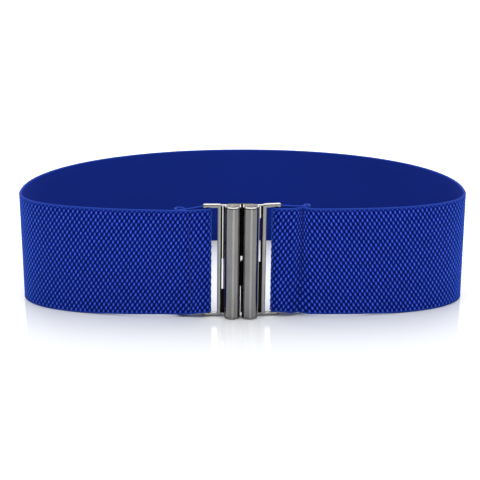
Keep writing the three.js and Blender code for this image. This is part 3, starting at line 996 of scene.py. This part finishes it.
def pocket(half, other):
    """What the pocket that takes the other half's lip leaves out of this half's column."""
    reach = LIP_WIDTH / 2 + POCKET_CLEARANCE
    edges = [half.side * (COLUMN_MIDDLE - reach), half.side * (COLUMN_MIDDLE + reach)]
    front, back = COLUMN_BACK - LIP_DEPTH - POCKET_CLEARANCE, COLUMN_BACK + FIT_GAP
    outline = np.array([(edges[0], front), (edges[1], front), (edges[1], back), (edges[0], back)])
    low, high = (share * CLASP_HEIGHT for share in other.lip)
    return loft([
        at_height(outline, low - POCKET_CLEARANCE), at_height(outline, high + POCKET_CLEARANCE),
    ])


def outward(piece):
    """Turns the faces of a closed mesh outwards."""
    body = bmesh.new()
    body.from_mesh(piece.data)
    bmesh.ops.recalc_face_normals(body, faces=body.faces)
    body.to_mesh(piece.data)
    body.free()
    return piece


def combined(name, base, steps, materials):
    """One mesh of a base body and the bodies joined to it or cut out of it, in that order. Each
    of them brings the finish of its faces by its place in the list of materials."""
    piece = outward(mesh_object(name, *base, materials))
    tools = []
    for operation, finish, body in steps:
        tool = outward(mesh_object("tool", *body, materials))
        finishes = np.full(len(tool.data.polygons), finish, np.int32)
        tool.data.polygons.foreach_set("material_index", finishes)
        change = piece.modifiers.new("change", "BOOLEAN")
        change.operation = operation
        change.solver = "EXACT"
        change.object = tool
        tools.append(tool)
    bpy.context.view_layer.update()
    evaluated = piece.evaluated_get(bpy.context.evaluated_depsgraph_get())
    result = bpy.data.meshes.new_from_object(evaluated)
    piece.modifiers.clear()
    piece.data = result
    for tool in tools:
        bpy.data.objects.remove(tool)
    return piece


def mark_ends_and_edges(mesh):
    """Shows the casting on the columns' ends, and paints a highlight on polished faces that face up
    or down."""
    for face in mesh.polygons:
        at_end = min(face.center.z, CLASP_HEIGHT - face.center.z) < CAST_REACH
        level = abs(face.normal.z) > CAST_TILT
        if level and at_end and abs(face.center.x) < COLUMN_OUTER:
            face.material_index = CAST
        # Polished faces that face up or down get the painted highlight
        elif face.material_index == POLISHED and abs(face.normal.z) > HIGHLIGHT_TILT:
            face.material_index = PAINTED_HIGHLIGHT


def round_edges(piece):
    """Rounds a metal piece's sharp edges and keeps its faces smooth between them."""
    piece.data.set_sharp_from_angle(angle=math.radians(SHARP_ANGLE))
    bevel = piece.modifiers.new("fine edges", "BEVEL")
    bevel.width = EDGE_ROUND * MM
    bevel.segments = ROUND_STEPS
    bevel.limit_method = "ANGLE"
    bevel.angle_limit = math.radians(SHARP_ANGLE)
    bevel.harden_normals = True


def clasp_half(half, other, materials):
    """One casting of the clasp, built from its column on. Only the right one carries the stop."""
    steps = [
        # Faces cut by the pocket, groove, notch and slot, and the tab, lip and stop, take the painted
        # shade
        ("DIFFERENCE", PAINTED_SHADE, pocket(half, other)),
        ("UNION", POLISHED, frame_ring(half)),
        ("UNION", POLISHED, web(half)),
        ("DIFFERENCE", PAINTED_SHADE, web_groove(half)),
        ("UNION", PAINTED_HIGHLIGHT, web_strip(half)),
        ("DIFFERENCE", PAINTED_SHADE, web_notch(half)),
        ("DIFFERENCE", PAINTED_SHADE, web_slot(half)),
        ("UNION", PAINTED_SHADE, hook_tab(half)),
        ("UNION", PAINTED_SHADE, hook_lip(half)),
    ]
    if half.name == "right":
        steps.append(("UNION", PAINTED_SHADE, gap_stop(half)))
    piece = combined(f"clasp_half_{half.name}", column(half.side), steps, materials)
    mark_ends_and_edges(piece.data)
    places = np.array([vertex.co for vertex in piece.data.vertices])
    piece.data.vertices.foreach_set("co", to_row(lean(places)).astype(np.float32).ravel())
    round_edges(piece)
    return piece


def seam_thread(half, material):
    """Front and back threads of a seam, each dipping into the band between its stitches."""
    seam = front_ply_point(half, stitch_x(half))
    stitches = round((BAND_WIDTH - 2 * FIRST_ROW) / STITCH_LENGTH)
    share = np.linspace(0, 1, stitches * STITCH_STEPS + 1)
    z = mix(FIRST_ROW, BAND_WIDTH - FIRST_ROW, share)
    hump = np.abs(np.sin(math.pi * share * stitches)) ** STITCH_FULLNESS
    front_face = seam[1] - BAND_THICKNESS / 2 + half.seam_groove
    back_face = seam[1] + 2 * PLY_PITCH + BAND_THICKNESS / 2 - THREAD_WIDTH / 2
    points, faces = [], []
    for y, way in ((front_face, -1), (back_face, 1)):
        stitched_y = y + way * THREAD_WIDTH * (hump - THREAD_SINK)
        line = np.column_stack([np.full_like(z, seam[0]), stitched_y, z])
        more_points, more_faces = tube(line, THREAD_WIDTH / 2)
        faces += [[index + len(points) for index in face] for face in more_faces]
        points += list(more_points)
    return mesh_object(
        f"seam_thread_{half.name}", to_row(dress_end(np.array(points))), faces, [material],
    )


# Stage


def floor():
    shader = Shader("pale_floor")
    haze = shader.noise(shader.place(), scale=2)
    material = shader.finish(
        shader.ramp(haze, FLOOR_COLORS), shader.spread(haze, (0, 1), (0.04, 0.06)), IOR=1.45,
    )
    corners = [
        (x * FLOOR_HALF_SIDE, y * FLOOR_HALF_SIDE, 0) for x, y in ((-1, -1), (1, -1), (1, 1), (-1, 1))
    ]
    piece = mesh_object("floor", corners, [[0, 1, 2, 3]], [material])
    piece.location.z = -FLOOR_DROP


def soft_light(name, place, aim, size, radiance):
    """A rectangular lamp, turned to face its aim, that the camera doesn't see."""
    light = bpy.data.lights.new(name, "AREA")
    light.shape = "RECTANGLE"
    light.size, light.size_y = size
    light.energy = radiance * math.pi * size[0] * size[1]
    lamp = bpy.data.objects.new(name, light)
    lamp.location = place
    direction = np.array(aim, float) - place
    lamp.rotation_euler = (
        math.atan2(math.hypot(direction[0], direction[1]), -direction[2]), 0,
        math.atan2(-direction[0], direction[1]),
    )
    lamp.visible_camera = False
    bpy.context.scene.collection.objects.link(lamp)


def world():
    surroundings = bpy.data.worlds.new("studio")
    surroundings.use_nodes = True
    background = surroundings.node_tree.nodes["Background"]
    background.inputs["Color"].default_value = (1, 1, 1, 1)
    background.inputs["Strength"].default_value = WORLD_STRENGTH
    bpy.context.scene.world = surroundings


def camera():
    data = bpy.data.cameras.new("camera")
    data.sensor_width = SENSOR
    data.lens = FOCAL_PIXELS / PHOTO_SIDE * SENSOR
    data.shift_x = -(PRINCIPAL_POINT[0] / PHOTO_SIDE - 0.5)
    data.shift_y = PRINCIPAL_POINT[1] / PHOTO_SIDE - 0.5
    eye = bpy.data.objects.new("camera", data)
    elevation = math.radians(CAMERA_ELEVATION)
    eye.location = to_row([
        0, -CAMERA_DISTANCE * math.cos(elevation),
        CAMERA_AIM_HEIGHT + CAMERA_DISTANCE * math.sin(elevation),
    ])
    eye.rotation_euler = (math.pi / 2 - elevation, 0, 0)
    bpy.context.scene.collection.objects.link(eye)
    bpy.context.scene.camera = eye


body = next(iter(frame["bodies"]))
band = woven_band()
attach(band, body)
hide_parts("elastic_band")
thread = sewing_thread()
for half in HALVES:
    piece = seam_thread(half, thread)
    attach(piece, body)
# Polished gunmetal, painted shade, painted highlight and the cast ends
metals = [gunmetal(), painted_shade_metal(), painted_highlight_plating(), cast_end()]
for half, other in (HALVES, HALVES[::-1]):
    piece = clasp_half(half, other, metals)
    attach(piece, body)
    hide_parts(f"buckle_half_{half.name}")

floor()
world()
for light in LIGHTS:
    soft_light(light.name, light.place, light.aim, light.size, light.radiance)
camera()
bpy.context.scene.view_settings.view_transform = "Standard"
